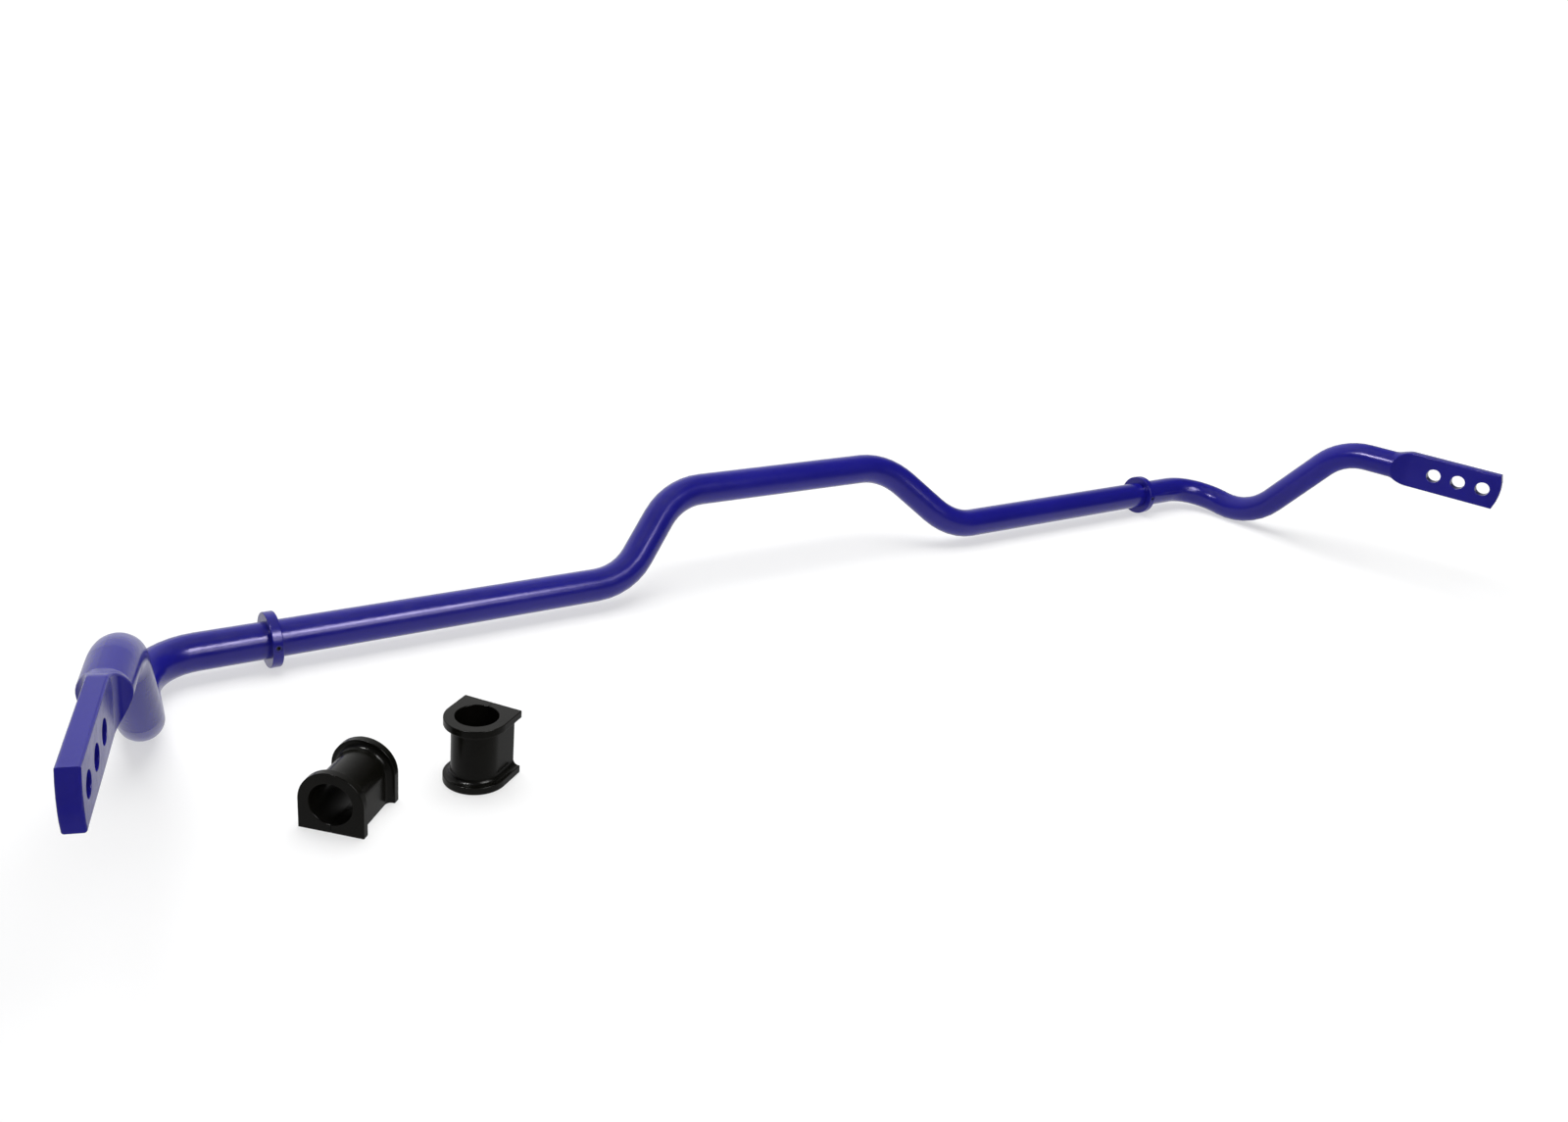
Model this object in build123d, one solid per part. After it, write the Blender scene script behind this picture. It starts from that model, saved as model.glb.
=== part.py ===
"""Rear sway bar with locating collars and split D-bushes, laid out at rest.

Row frame: +X runs along the bar, +Y points from the link blades towards the hump, +Z is up.
The bar lies on its two collars and on the undersides of its two arm bends.
The origin is under the middle of the whole set, on the surface it lies on.
"""
import os
from math import acos, copysign, cos, pi, radians, sin

from build123d import *

# ---- driving dimensions, mm and degrees ----

BAR_D = 22.0                # solid round spring steel
HUMP_TOP_HALF = 97.3        # half length of the raised middle, corner to corner
HUMP_FOOT_HALF = 151.2      # where the hump's slopes meet the main axis
HUMP_RISE = 56.0            # axis to axis, in the hump's own plane
HUMP_LEAN = 34.2            # the hump's plane leans back from upright by this much
ARM_ROOT_X = 456.7          # corner between the main axis and the arm
ARM_LOW = (463.7, -63.7, -8.76)    # lower corner of the arm, from the main axis
ARM_HIGH = (481.1, -125.9, 72.6)    # upper corner of the arm
BLADE_TIP = (520.0, -245.2, 71.3)   # middle of the blade's end
HUMP_TOP_BEND = 55.0        # bend radii, on the bar's centre line
HUMP_FOOT_BEND = 50.0
ARM_ROOT_BEND = 37.0
ARM_LOW_BEND = 47.5
ARM_HIGH_BEND = 42.0

BLADE_W = 28.5              # forged flat, across
BLADE_T = 9.0               # forged flat, through
BLADE_FLAT = 70.5           # from the end of the shoulder to the tip
SHOULDER = 14.0             # round to full width
SHOULDER_STEPS = 5          # sections that the shoulder is lofted through
SECTION_POINTS = 32
BLANK_SQUARENESS = 5.0      # superellipse power of the flared blank
DIE_RADIUS = 16.0           # hollow left by the forging die at the end of the flat
BLADE_EDGE = 1.2            # rounding of the blade's edges
TIP_BULGE = 2.8             # the tip is a shallow arc
LINK_HOLE_D = 11.0
LINK_HOLE_EDGE = 0.3        # rounding of each hole's rims
LINK_HOLE_FROM_TIP = 13.0
LINK_HOLE_PITCH = 18.9
LINK_HOLES = 3

COLLAR_X = 383.1            # middle of each collar
COLLAR_D = 33.0
COLLAR_W = 6.2
COLLAR_BORE_D = BAR_D + 0.08
COLLAR_EDGE = 0.7
GRUB_ANGLE = 5.0            # the grub screw points forward and this much above level
GRUB_D = 4.0                # M4
GRUB_HOLE_D = GRUB_D + 0.1
GRUB_LENGTH = 5.0
GRUB_GAP = 0.05             # between the screw's point and the bar
GRUB_SOCKET = 2.0           # across flats
GRUB_SOCKET_DEPTH = 1.8
GRUB_POINT = 0.6            # chamfer of the point

BUSH_LENGTH = 36.7
BUSH_FLANGE_R = 16.7
BUSH_FLANGE_T = 4.1
BUSH_BODY_R = 12.8
BUSH_BASE = 15.5            # bore axis to flat base
BUSH_BORE_D = BAR_D + 0.2
BUSH_NECK = 3.0             # fillet between body and flange
BUSH_SLIT = 0.3             # knife cut that lets the bush open over the bar
BUSH_EDGE = 0.4             # rounding of the flanges' rims and of the bore's mouths
BUSH_LEFT_FRONT = (-406.4, -178.0)  # centre of the front flange's base line, from the main axis
BUSH_LEFT_YAW = 44.4                # bore axis, from +X towards +Y
BUSH_RIGHT_AT = (-327.1, -162.3)    # bore axis of the bush that stands on its end
BUSH_RIGHT_YAW = 35.0               # its flat base faces this way

# ---- worked out from the above ----

BAR_R = BAR_D / 2
TOUCH = 0.01                # two places this close are the same place
SPARE = 1.0                 # how far a cutting shape runs past what it cuts
FLOOR_Z = -COLLAR_D / 2     # the surface that the set lies on, below the main axis


# ---- the bar ----

def centre_line():
    """Centre line of the right half, from the middle of the hump to the start of the blade."""
    lean = radians(HUMP_LEAN)
    hump = (HUMP_RISE * sin(lean), HUMP_RISE * cos(lean))
    tip = Vector(*BLADE_TIP)
    high = Vector(*ARM_HIGH)
    along = (tip - high).normalized()
    blade_start = tip - along * (BLADE_FLAT + SHOULDER)
    corners = [
        (0, *hump),
        (HUMP_TOP_HALF, *hump),
        (HUMP_FOOT_HALF, 0, 0),
        (ARM_ROOT_X, 0, 0),
        ARM_LOW,
        ARM_HIGH,
        blade_start,
    ]
    radii = [HUMP_TOP_BEND, HUMP_FOOT_BEND, ARM_ROOT_BEND, ARM_LOW_BEND, ARM_HIGH_BEND]
    return FilletPolyline(*corners, radius=radii), blade_start, along


def blank_section(height, width, squareness):
    """Closed outline between a circle, squareness 2, and a rounded block; X through, Y across."""
    points = []
    for number in range(SECTION_POINTS):
        turn = 2 * pi * number / SECTION_POINTS
        through = copysign(abs(cos(turn)) ** (2 / squareness), cos(turn)) * BAR_R
        across = copysign(abs(sin(turn)) ** (2 / squareness), sin(turn)) * width / 2
        points.append((through, across))
    return Pos(0, 0, height) * make_face(Spline(*points, periodic=True))


def shoulder_blank():
    """Round bar flared to the blade's width, still at full thickness, along +Z."""
    sections = [Circle(BAR_R)]
    for number in range(1, SHOULDER_STEPS + 1):
        station = number / SHOULDER_STEPS
        blend = station * station * (3 - 2 * station)
        width = BAR_D + (BLADE_W - BAR_D) * blend
        squareness = 2 + (BLANK_SQUARENESS - 2) * blend
        sections.append(blank_section(SHOULDER * station, width, squareness))
    return loft(sections) + extrude(sections[-1], BLADE_FLAT + TIP_BULGE)


def die_profile():
    """Side view of the forged end: the dies leave a flat that runs out in a hollow arc."""
    deep = BAR_R + SPARE
    half_t = BLADE_T / 2
    start = -SPARE
    tip = SHOULDER + BLADE_FLAT + SPARE
    sweep_angle = acos(1 - (deep - half_t) / DIE_RADIUS)
    hollow = [
        (SHOULDER - DIE_RADIUS * sin(turn), half_t + DIE_RADIUS * (1 - cos(turn)))
        for turn in (sweep_angle, sweep_angle / 2, 0)
    ]
    upper = [
        Line((start, deep), hollow[0]),
        ThreePointArc(*hollow),
        Line(hollow[-1], (tip, half_t)),
    ]
    lower = [mirror(edge, about=Plane.XZ) for edge in upper]
    ends = [Line((start, deep), (start, -deep)), Line((tip, half_t), (tip, -half_t))]
    face = make_face(upper + lower + ends)
    along_z = Plane(origin=(0, 0, 0), x_dir=(0, 0, 1), z_dir=(0, 1, 0))
    return extrude(along_z * face, BLADE_W, both=True)


def tip_profile():
    """Plan view of the blade: a long strip that ends in a shallow arc."""
    start = -SPARE
    end = SHOULDER + BLADE_FLAT
    half = BLADE_W
    sag = TIP_BULGE * (half / (BLADE_W / 2)) ** 2
    face = make_face([
        Line((start, -half), (start, half)),
        Line((start, half), (end - sag, half)),
        ThreePointArc((end - sag, half), (end, 0), (end - sag, -half)),
        Line((end - sag, -half), (start, -half)),
    ])
    along_z = Plane(origin=(0, 0, 0), x_dir=(0, 0, 1), z_dir=(-1, 0, 0))
    return extrude(along_z * face, BAR_D, both=True)


def blade():
    """Forged end with its link holes. Z runs to the tip, X through the flat, Y across it."""
    forged = shoulder_blank() & die_profile() & tip_profile()
    half_t = BLADE_T / 2
    flat_top = SHOULDER + BLADE_FLAT / 3
    rim = [
        edge for edge in forged.edges()
        if abs(abs(edge.center().X) - half_t) < TOUCH and edge.center().Z > flat_top
    ]
    forged = fillet(rim, BLADE_EDGE)
    for number in range(LINK_HOLES):
        height = SHOULDER + BLADE_FLAT - LINK_HOLE_FROM_TIP - number * LINK_HOLE_PITCH
        forged -= Pos(0, 0, height) * Rot(0, 90, 0) * Cylinder(LINK_HOLE_D / 2, BLADE_W)
    rims = [
        edge for edge in forged.edges().filter_by(GeomType.CIRCLE)
        if abs(edge.radius - LINK_HOLE_D / 2) < TOUCH
    ]
    return fillet(rims, LINK_HOLE_EDGE)


def half_bar():
    """Right half of the bar, cut at the middle of the hump."""
    line, blade_start, along = centre_line()
    profile = Plane(origin=line @ 0, z_dir=line % 0) * Circle(BAR_R)
    rod = sweep(profile, path=line)
    through = Vector(1, 0, 0) - along * along.X
    seat = Plane(origin=blade_start, x_dir=through, z_dir=along)
    return rod + seat * blade()


def bar():
    right = half_bar()
    return right + mirror(right, about=Plane.YZ)


# ---- collars and grub screws ----

def grub_frame(side):
    """Frame on a collar's middle with Z out through its grub screw."""
    turn = radians(GRUB_ANGLE)
    outward = (0, -cos(turn), sin(turn))
    return Plane(origin=(side * COLLAR_X, 0, 0), x_dir=(1, 0, 0), z_dir=outward)


def collar(side):
    ring = Cylinder(COLLAR_D / 2, COLLAR_W) - Cylinder(COLLAR_BORE_D / 2, COLLAR_W)
    outer = ring.edges().filter_by(GeomType.CIRCLE).sort_by(SortBy.RADIUS)[-2:]
    ring = fillet(outer, COLLAR_EDGE)
    ring = Pos(side * COLLAR_X, 0, 0) * Rot(0, 90, 0) * ring
    hole = Cylinder(GRUB_HOLE_D / 2, COLLAR_D, align=(Align.CENTER, Align.CENTER, Align.MIN))
    return ring - grub_frame(side) * hole


def grub_screw(side):
    upright = (Align.CENTER, Align.CENTER, Align.MIN)
    body = Cylinder(GRUB_D / 2, GRUB_LENGTH, align=upright)
    point = body.edges().filter_by(GeomType.CIRCLE).sort_by(Axis.Z)[0]
    body = chamfer(point, GRUB_POINT)
    hexagon = RegularPolygon(GRUB_SOCKET / 2, side_count=6, major_radius=False)
    socket = Pos(0, 0, GRUB_LENGTH) * extrude(hexagon, -GRUB_SOCKET_DEPTH)
    return grub_frame(side) * Pos(0, 0, BAR_R + GRUB_GAP) * (body - socket)


# ---- bushes ----

def d_outline(radius):
    """Round top and flat base; X across, Y up, with the origin on the bore's axis."""
    block = Pos(0, -BUSH_BASE / 2) * Rectangle(2 * radius, BUSH_BASE)
    above_base = Pos(0, 2 * radius - BUSH_BASE) * Rectangle(4 * radius, 4 * radius)
    return (Circle(radius) + block) & above_base


def spool():
    """Two D flanges on a D body. Z along the bore, Y from the flat base to the round top."""
    flange = extrude(d_outline(BUSH_FLANGE_R), BUSH_FLANGE_T)
    body = extrude(d_outline(BUSH_BODY_R), BUSH_LENGTH)
    return flange + body + Pos(0, 0, BUSH_LENGTH - BUSH_FLANGE_T) * flange


def is_neck(edge):
    """True for an edge where the body meets a flange's inner face."""
    middle = edge.center()
    heights = (BUSH_FLANGE_T, BUSH_LENGTH - BUSH_FLANGE_T)
    at_flange = min(abs(middle.Z - height) for height in heights) < TOUCH
    if not at_flange or edge.bounding_box().size.Z > TOUCH:
        return False
    if edge.geom_type == GeomType.CIRCLE:
        return abs(edge.radius - BUSH_BODY_R) < TOUCH
    return abs(abs(middle.X) - BUSH_BODY_R) < TOUCH


def is_rim(edge):
    """True for an edge around the top and sides of a flange."""
    middle = edge.center()
    if edge.bounding_box().size.Z > TOUCH or middle.Y < TOUCH - BUSH_BASE:
        return False
    if edge.geom_type == GeomType.CIRCLE:
        return abs(edge.radius - BUSH_FLANGE_R) < TOUCH
    return abs(abs(middle.X) - BUSH_FLANGE_R) < TOUCH


def is_mouth(edge):
    """True for an edge where the bore breaks out of a flange."""
    return edge.geom_type == GeomType.CIRCLE and abs(edge.radius - BUSH_BORE_D / 2) < TOUCH


def bush():
    """Split D-bush, filleted, bored and cut through its base."""
    solid = spool()
    solid = fillet([edge for edge in solid.edges() if is_neck(edge)], BUSH_NECK)
    solid = fillet([edge for edge in solid.edges() if is_rim(edge)], BUSH_EDGE)
    middle = Pos(0, 0, BUSH_LENGTH / 2)
    solid -= middle * Cylinder(BUSH_BORE_D / 2, BUSH_LENGTH)
    solid = fillet([edge for edge in solid.edges() if is_mouth(edge)], BUSH_EDGE)
    return solid - middle * Pos(0, -BUSH_BASE / 2) * Box(BUSH_SLIT, BUSH_BASE, BUSH_LENGTH)


def bush_left():
    """Lies on its flat base; its bore points away to the right."""
    turn = radians(BUSH_LEFT_YAW)
    bore = (cos(turn), sin(turn), 0)
    across = (-sin(turn), cos(turn), 0)
    seat = Plane(origin=(*BUSH_LEFT_FRONT, FLOOR_Z + BUSH_BASE), x_dir=across, z_dir=bore)
    return seat * bush()


def bush_right():
    """Stands on one flange with its bore upright."""
    turn = radians(BUSH_RIGHT_YAW)
    across = (-sin(turn), cos(turn), 0)
    seat = Plane(origin=(*BUSH_RIGHT_AT, FLOOR_Z), x_dir=across, z_dir=(0, 0, 1))
    return seat * bush()


def nodes():
    """Every node by name, moved so that the origin is under the middle of the set."""
    made = {"bar": bar()}
    for side, word in ((-1, "left"), (1, "right")):
        made[f"collar_{word}"] = collar(side)
        made[f"grub_screw_{word}"] = grub_screw(side)
    made["bush_left"] = bush_left()
    made["bush_right"] = bush_right()
    boxes = [shape.bounding_box() for shape in made.values()]
    middle_y = (min(box.min.Y for box in boxes) + max(box.max.Y for box in boxes)) / 2
    shift = Pos(0, -middle_y, -FLOOR_Z)
    return {name: shift * shape for name, shape in made.items()}


if __name__ == "__main__":
    os.makedirs("parts", exist_ok=True)
    for name, shape in nodes().items():
        export_step(shape, f"parts/{name}.step")
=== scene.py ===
"""Looks of the sway bar: powder-coated bar and collars, blackened grub screws, cast bushes."""
import math

import bpy
from mathutils import Matrix, Vector


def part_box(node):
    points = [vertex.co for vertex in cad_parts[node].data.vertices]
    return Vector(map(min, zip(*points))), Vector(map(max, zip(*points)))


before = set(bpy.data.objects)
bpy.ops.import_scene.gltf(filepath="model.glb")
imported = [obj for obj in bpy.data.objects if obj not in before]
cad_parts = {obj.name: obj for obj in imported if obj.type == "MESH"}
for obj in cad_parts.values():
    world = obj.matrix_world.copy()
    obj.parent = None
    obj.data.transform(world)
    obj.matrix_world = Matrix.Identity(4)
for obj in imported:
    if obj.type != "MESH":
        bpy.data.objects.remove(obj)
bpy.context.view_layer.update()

# ---- places and sizes, metres and degrees ----

CAMERA_PLACE = (-0.5692, -0.6052, 0.3736)
CAMERA_AIM = (-0.0549, 0.0518, 0.0363)
CAMERA_ROLL = 6.664
CAMERA_LENS = 30.06         # millimetres
CAMERA_SENSOR = 36.0        # millimetres
CAMERA_CLIP = (0.01, 50.0)
FLOOR_REACH = 7.0
FLOOR_FADE = (0.6, 1.4)     # from here outwards the floor turns into the white backdrop
BACKDROP_RADIUS = 7.0
BACKDROP_RINGS = 12
BACKDROP_SPOKES = 32
SCREW_ANGLE = 5.0           # each grub screw points forward and this much above level
SOCKET_REACH = 0.0012       # the uncoated socket, out from the screw's axis
SOCKET_BLEND = 0.04         # black turns into blue over this share of it, either side

# ---- surfaces: noise scales are per metre, bumps are (strength, depth in metres) ----

NOISE_SPAN = (0.3, 0.7)     # most of what a noise texture gives lies in here

COAT_COLOURS = ((0.0060, 0.0054, 0.178), (0.0084, 0.0075, 0.206))
COAT_DRIFT_SCALE = 14.0
COAT_TINT = (0.84, 0.76, 1.0, 1.0)  # of its reflections
COAT_ROUGHNESS = (0.17, 0.27)
COAT_GRAIN_SCALE = 150.0
COAT_PEEL_SCALE = 380.0
COAT_PEEL_BUMP = (0.5, 0.00012)
COAT_FINE_SCALE = 1100.0
COAT_FINE_BUMP = (0.4, 0.00003)

BUSH_COLOURS = ((0.0028, 0.0027, 0.0020), (0.0048, 0.0046, 0.0035))
BUSH_MOTTLE_SCALE = 60.0
BUSH_SPECULAR = 0.16
BUSH_ROUGHNESS = (0.18, 0.28)
BUSH_GRAIN_SCALE = 220.0
BUSH_SKIN_SCALE = 700.0
BUSH_SKIN_BUMP = (0.25, 0.00003)

SOCKET_COLOURS = ((0.002, 0.002, 0.004), (0.005, 0.005, 0.010))
SOCKET_MOTTLE_SCALE = 900.0
SCREW_ROUGHNESS = 0.3
SCREW_BUMP = (0.3, 0.00003)

# ---- tones of the stage ----

PAPER_ROUGHNESS = 0.9
BACKDROP_GLOW = 1.1
WORLD_GLOW = (0.08, 0.95)   # the room's light over the front and towards the back
WORLD_RISE = (0.1, 0.9)     # it brightens over this stretch of the direction's Y
FLOOR_WHITE = (0.36, 0.36, 0.36)
FLOOR_GLOW = (0.56, 1.05)   # the floor's painted glow, under the set and far from it
PAINTED_REFLECTION_DIM = (0.10, 0.10, 0.10)   # painted reflection: a dim floor in front of the set, seen only in reflections
PAINTED_REFLECTION_GLOW = (0.05, 0.58)    # painted reflection: the reflected floor's painted glow, in front and behind
PAINTED_REFLECTION_RISE = (-0.25, 0.12)   # the painted reflection of the floor brightens over this stretch of Y, metres

# ---- lights: name, place, what it points at, width and height, watts ----

HIGHLIGHT_BOXES = (
    ("key", (0.18, -1.28, 1.30), (-0.3, 0.1, 0.02), (0.80, 0.45), 21),
    ("key_skirt", (0.18, -1.60, 0.82), (-0.3, 0.1, 0.02), (0.80, 0.45), 6),
    ("end_spark", (-0.85, -0.14, 0.96), (0.49, 0.0, 0.09), (0.30, 0.15), 9),
)
DIFFUSE_BOXES = (
    ("overhead", (0, 0.35, 2.0), (0, 0, 0), (2.0, 1.8), 56),
    ("front_fill", (-0.3, -1.7, 1.0), (0, 0, 0), (2.4, 1.2), 14),
)

MIX_A, MIX_B, MIX_RESULT = 6, 7, 2      # the Mix node's colour sockets


# ---- node helpers ----

def new_material(name):
    """Empty node material with one Principled shader; returns material, tree and shader."""
    material = bpy.data.materials.new(name)
    material.use_nodes = True
    tree = material.node_tree
    tree.nodes.clear()
    output = tree.nodes.new("ShaderNodeOutputMaterial")
    shader = tree.nodes.new("ShaderNodeBsdfPrincipled")
    tree.links.new(shader.outputs["BSDF"], output.inputs["Surface"])
    return material, tree, shader


def place(tree):
    """Position on the resting object, in metres."""
    return tree.nodes.new("ShaderNodeTexCoord").outputs["Object"]


def noise(tree, where, scale, detail=2.0, roughness=0.5):
    node = tree.nodes.new("ShaderNodeTexNoise")
    node.inputs["Scale"].default_value = scale
    node.inputs["Detail"].default_value = detail
    node.inputs["Roughness"].default_value = roughness
    tree.links.new(where, node.inputs["Vector"])
    return node.outputs["Fac"]


def ramp(tree, value, *stops):
    """Colour ramp through (position, colour) stops."""
    node = tree.nodes.new("ShaderNodeValToRGB")
    elements = node.color_ramp.elements
    while len(elements) < len(stops):
        elements.new(0.5)
    for element, (position, colour) in zip(elements, stops):
        element.position = position
        element.color = (*colour, 1.0)
    tree.links.new(value, node.inputs["Fac"])
    return node.outputs["Color"]


def spread(tree, value, low, high, start=0.0, end=1.0, kind="LINEAR"):
    """Maps start..end to low..high."""
    node = tree.nodes.new("ShaderNodeMapRange")
    node.interpolation_type = kind
    node.inputs["From Min"].default_value = start
    node.inputs["From Max"].default_value = end
    node.inputs["To Min"].default_value = low
    node.inputs["To Max"].default_value = high
    tree.links.new(value, node.inputs["Value"])
    return node.outputs["Result"]


def vector_math(tree, operation, *values, output="Vector"):
    """Vector Math node over linked sockets and constant vectors."""
    node = tree.nodes.new("ShaderNodeVectorMath")
    node.operation = operation
    for number, value in enumerate(values):
        if isinstance(value, bpy.types.NodeSocket):
            tree.links.new(value, node.inputs[number])
        else:
            node.inputs[number].default_value = value
    return node.outputs[output]


def vector_length(tree, vector):
    return vector_math(tree, "LENGTH", vector, output="Value")


def mottle(tree, where, scale, colours):
    """Two colours drifting into each other over noise."""
    return ramp(tree, noise(tree, where, scale, detail=3.0), *zip(NOISE_SPAN, colours))


def bump(tree, height, strength, distance, under=None):
    """Normal raised by height, on top of another bump's normal if one is given."""
    node = tree.nodes.new("ShaderNodeBump")
    node.inputs["Strength"].default_value = strength
    node.inputs["Distance"].default_value = distance
    tree.links.new(height, node.inputs["Height"])
    if under is not None:
        tree.links.new(under, node.inputs["Normal"])
    return node.outputs["Normal"]


# ---- materials ----

def coat_colour(tree, where):
    """Ultramarine with a slow drift in depth."""
    return mottle(tree, where, COAT_DRIFT_SCALE, COAT_COLOURS)


def blue_coat():
    """Semi-gloss ultramarine powder coat with orange peel."""
    material, tree, shader = new_material("blue_coat")
    where = place(tree)
    grain = noise(tree, where, COAT_GRAIN_SCALE, detail=4.0, roughness=0.6)
    roughness = spread(tree, grain, *COAT_ROUGHNESS, *NOISE_SPAN)
    peel = bump(tree, noise(tree, where, COAT_PEEL_SCALE, detail=1.5), *COAT_PEEL_BUMP)
    fine = bump(tree, noise(tree, where, COAT_FINE_SCALE), *COAT_FINE_BUMP, under=peel)
    shader.inputs["Specular Tint"].default_value = COAT_TINT
    tree.links.new(coat_colour(tree, where), shader.inputs["Base Color"])
    tree.links.new(roughness, shader.inputs["Roughness"])
    tree.links.new(fine, shader.inputs["Normal"])
    return material


def bush_poly():
    """Satin black cast polyurethane."""
    material, tree, shader = new_material("bush_poly")
    where = place(tree)
    colour = mottle(tree, where, BUSH_MOTTLE_SCALE, BUSH_COLOURS)
    roughness = spread(tree, noise(tree, where, BUSH_GRAIN_SCALE, detail=4.0), *BUSH_ROUGHNESS)
    normal = bump(tree, noise(tree, where, BUSH_SKIN_SCALE), *BUSH_SKIN_BUMP)
    shader.inputs["Specular IOR Level"].default_value = BUSH_SPECULAR
    tree.links.new(colour, shader.inputs["Base Color"])
    tree.links.new(roughness, shader.inputs["Roughness"])
    tree.links.new(normal, shader.inputs["Normal"])
    return material


def off_axis(tree, where):
    """Distance from the nearer grub screw's axis, in metres."""
    low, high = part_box("grub_screw_right")
    middle = (Vector(low) + Vector(high)) / 2
    tilt = math.radians(SCREW_ANGLE)
    axis = (0, -math.cos(tilt), math.sin(tilt))
    mirrored = vector_math(tree, "ABSOLUTE", where)
    from_middle = vector_math(tree, "SUBTRACT", mirrored, middle)
    across = vector_math(tree, "CROSS_PRODUCT", from_middle, axis)
    return vector_length(tree, across)


def screw_steel():
    """Blackened steel socket in a face coated over with the bar."""
    material, tree, shader = new_material("screw_steel")
    where = place(tree)
    black = mottle(tree, where, SOCKET_MOTTLE_SCALE, SOCKET_COLOURS)
    inner, outer = (1 - SOCKET_BLEND) * SOCKET_REACH, (1 + SOCKET_BLEND) * SOCKET_REACH
    coated = spread(tree, off_axis(tree, where), 0.0, 1.0, inner, outer)
    mix = tree.nodes.new("ShaderNodeMix")
    mix.data_type = "RGBA"
    tree.links.new(coated, mix.inputs["Factor"])
    tree.links.new(black, mix.inputs[MIX_A])
    tree.links.new(coat_colour(tree, where), mix.inputs[MIX_B])
    normal = bump(tree, noise(tree, where, COAT_FINE_SCALE), *SCREW_BUMP)
    shader.inputs["Roughness"].default_value = SCREW_ROUGHNESS
    tree.links.new(mix.outputs[MIX_RESULT], shader.inputs["Base Color"])
    tree.links.new(normal, shader.inputs["Normal"])
    return material


def glowing_paper(name):
    """Matt white paper with a painted glow of its own; returns material, tree and shader."""
    material, tree, shader = new_material(name)
    shader.inputs["Base Color"].default_value = (*FLOOR_WHITE, 1.0)
    shader.inputs["Roughness"].default_value = PAPER_ROUGHNESS
    shader.inputs["Specular IOR Level"].default_value = 0.0
    shader.inputs["Emission Color"].default_value = (1.0, 1.0, 1.0, 1.0)
    return material, tree, shader


def floor_paper():
    """White paper whose painted glow brightens it into the backdrop away from the object."""
    material, tree, shader = glowing_paper("floor_paper")
    distance = vector_length(tree, place(tree))
    # painted glow: weaker under the set, stronger away from it
    fade = spread(tree, distance, *FLOOR_GLOW, *FLOOR_FADE, kind="SMOOTHSTEP")
    tree.links.new(fade, shader.inputs["Emission Strength"])
    return material


def painted_reflection_floor():
    """Painted reflection of the floor, seen only in reflections: dim in front, white behind."""
    material, tree, shader = glowing_paper("painted_reflection_floor")
    split = tree.nodes.new("ShaderNodeSeparateXYZ")
    tree.links.new(place(tree), split.inputs[0])
    # painted reflection: dark and barely glowing in front, white and glowing behind
    rise = spread(tree, split.outputs["Y"], 0.0, 1.0, *PAINTED_REFLECTION_RISE, kind="SMOOTHSTEP")
    tone = ramp(tree, rise, (0.0, PAINTED_REFLECTION_DIM), (1.0, FLOOR_WHITE))
    tree.links.new(tone, shader.inputs["Base Color"])
    tree.links.new(spread(tree, rise, *PAINTED_REFLECTION_GLOW), shader.inputs["Emission Strength"])
    return material


def backdrop_white():
    """Plain white glow."""
    material = bpy.data.materials.new("backdrop_white")
    material.use_nodes = True
    tree = material.node_tree
    tree.nodes.clear()
    output = tree.nodes.new("ShaderNodeOutputMaterial")
    glow = tree.nodes.new("ShaderNodeEmission")
    glow.inputs["Strength"].default_value = BACKDROP_GLOW
    tree.links.new(glow.outputs["Emission"], output.inputs["Surface"])
    return material


def dress(node, material):
    """Gives a CAD node its material."""
    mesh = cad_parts[node].data
    mesh.materials.clear()
    mesh.materials.append(material)


# ---- stage ----

def stage_piece(name, mesh, material):
    """Object of the stage, which isn't part of the sway bar."""
    mesh.materials.append(material)
    piece = bpy.data.objects.new(name, mesh)
    bpy.context.scene.collection.objects.link(piece)
    return piece


def floor_sheet(name, material):
    """Square sheet at floor height."""
    mesh = bpy.data.meshes.new(name)
    corners = [(-1, -1), (1, -1), (1, 1), (-1, 1)]
    mesh.from_pydata([(FLOOR_REACH * x, FLOOR_REACH * y, 0) for x, y in corners], [], [(0, 1, 2, 3)])
    return stage_piece(name, mesh, material)


def make_floor():
    """One sheet for the camera and soft light, and one that only reflections see."""
    floor_sheet("floor", floor_paper()).visible_glossy = False
    # sheet with a painted reflection of the floor, seen only in reflections
    mirrored = floor_sheet("painted_reflection_floor", painted_reflection_floor())
    mirrored.visible_camera = False
    mirrored.visible_diffuse = False
    mirrored.visible_shadow = False


def make_backdrop():
    """White dome that only the camera sees."""
    points = []
    for ring in range(BACKDROP_RINGS + 1):
        lift = math.pi / 2 * ring / BACKDROP_RINGS
        for spoke in range(BACKDROP_SPOKES):
            turn = 2 * math.pi * spoke / BACKDROP_SPOKES
            points.append((
                BACKDROP_RADIUS * math.cos(lift) * math.cos(turn),
                BACKDROP_RADIUS * math.cos(lift) * math.sin(turn),
                BACKDROP_RADIUS * math.sin(lift),
            ))
    faces = []
    for ring in range(BACKDROP_RINGS):
        for spoke in range(BACKDROP_SPOKES):
            after = (spoke + 1) % BACKDROP_SPOKES
            low, high = ring * BACKDROP_SPOKES, (ring + 1) * BACKDROP_SPOKES
            faces.append((low + spoke, low + after, high + after, high + spoke))
    mesh = bpy.data.meshes.new("backdrop")
    mesh.from_pydata(points, [], faces)
    backdrop = stage_piece("backdrop", mesh, backdrop_white())
    backdrop.visible_diffuse = False
    backdrop.visible_glossy = False
    backdrop.visible_transmission = False
    backdrop.visible_shadow = False


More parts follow.
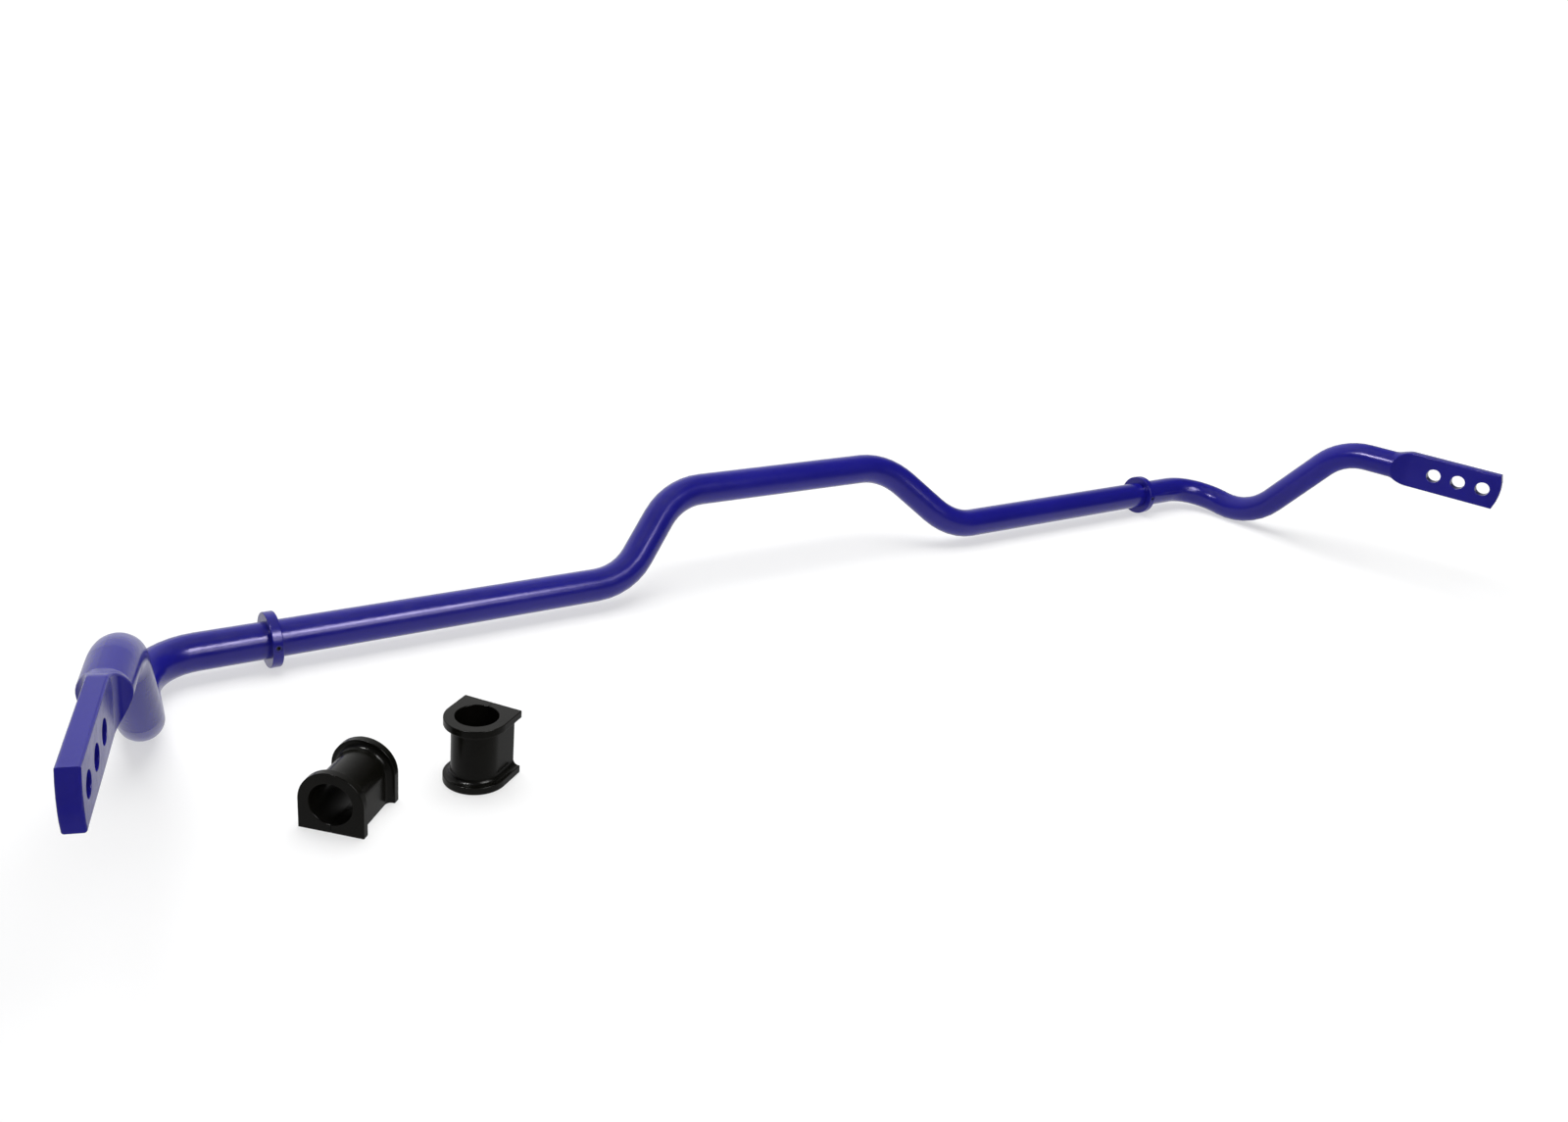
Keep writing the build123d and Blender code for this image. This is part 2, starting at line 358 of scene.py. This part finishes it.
def area_light(name, location, aim, size, power):
    """Rectangular soft box pointed at aim; size is (width, height) in metres."""
    data = bpy.data.lights.new(name, "AREA")
    data.shape = "RECTANGLE"
    data.size, data.size_y = size
    data.energy = power
    light = bpy.data.objects.new(name, data)
    light.location = location
    light.rotation_mode = "QUATERNION"
    light.rotation_quaternion = (Vector(aim) - Vector(location)).to_track_quat("-Z", "Y")
    light.visible_camera = False
    bpy.context.scene.collection.objects.link(light)
    return light


def make_lights():
    """Some soft boxes only draw highlights, and the others only light diffusely."""
    for box in HIGHLIGHT_BOXES:
        area_light(*box).visible_diffuse = False
    for box in DIFFUSE_BOXES:
        area_light(*box).visible_glossy = False


def make_world():
    """Studio room: bright towards the back, dark over the front."""
    world = bpy.data.worlds.new("studio")
    world.use_nodes = True
    tree = world.node_tree
    background = tree.nodes["Background"]
    split = tree.nodes.new("ShaderNodeSeparateXYZ")
    tree.links.new(tree.nodes.new("ShaderNodeTexCoord").outputs["Generated"], split.inputs[0])
    strength = spread(tree, split.outputs["Y"], *WORLD_GLOW, *WORLD_RISE, kind="SMOOTHSTEP")
    tree.links.new(strength, background.inputs["Strength"])
    background.inputs["Color"].default_value = (1, 1, 1, 1)
    bpy.context.scene.world = world


def make_camera():
    """Looks down at the set from its front left."""
    data = bpy.data.cameras.new("camera")
    data.lens = CAMERA_LENS
    data.sensor_width = CAMERA_SENSOR
    data.clip_start, data.clip_end = CAMERA_CLIP
    camera = bpy.data.objects.new("camera", data)
    place_at, aim = Vector(CAMERA_PLACE), Vector(CAMERA_AIM)
    look = (aim - place_at).to_track_quat("-Z", "Y").to_matrix().to_4x4()
    roll = Matrix.Rotation(math.radians(CAMERA_ROLL), 4, "Z")
    camera.matrix_world = Matrix.Translation(place_at) @ look @ roll
    bpy.context.scene.collection.objects.link(camera)
    bpy.context.scene.camera = camera


coat = blue_coat()
poly = bush_poly()
steel = screw_steel()
for word in ("left", "right"):
    dress(f"collar_{word}", coat)
    dress(f"grub_screw_{word}", steel)
    dress(f"bush_{word}", poly)
dress("bar", coat)
make_floor()
make_backdrop()
make_lights()
make_world()
make_camera()
bpy.context.scene.view_settings.view_transform = "Standard"
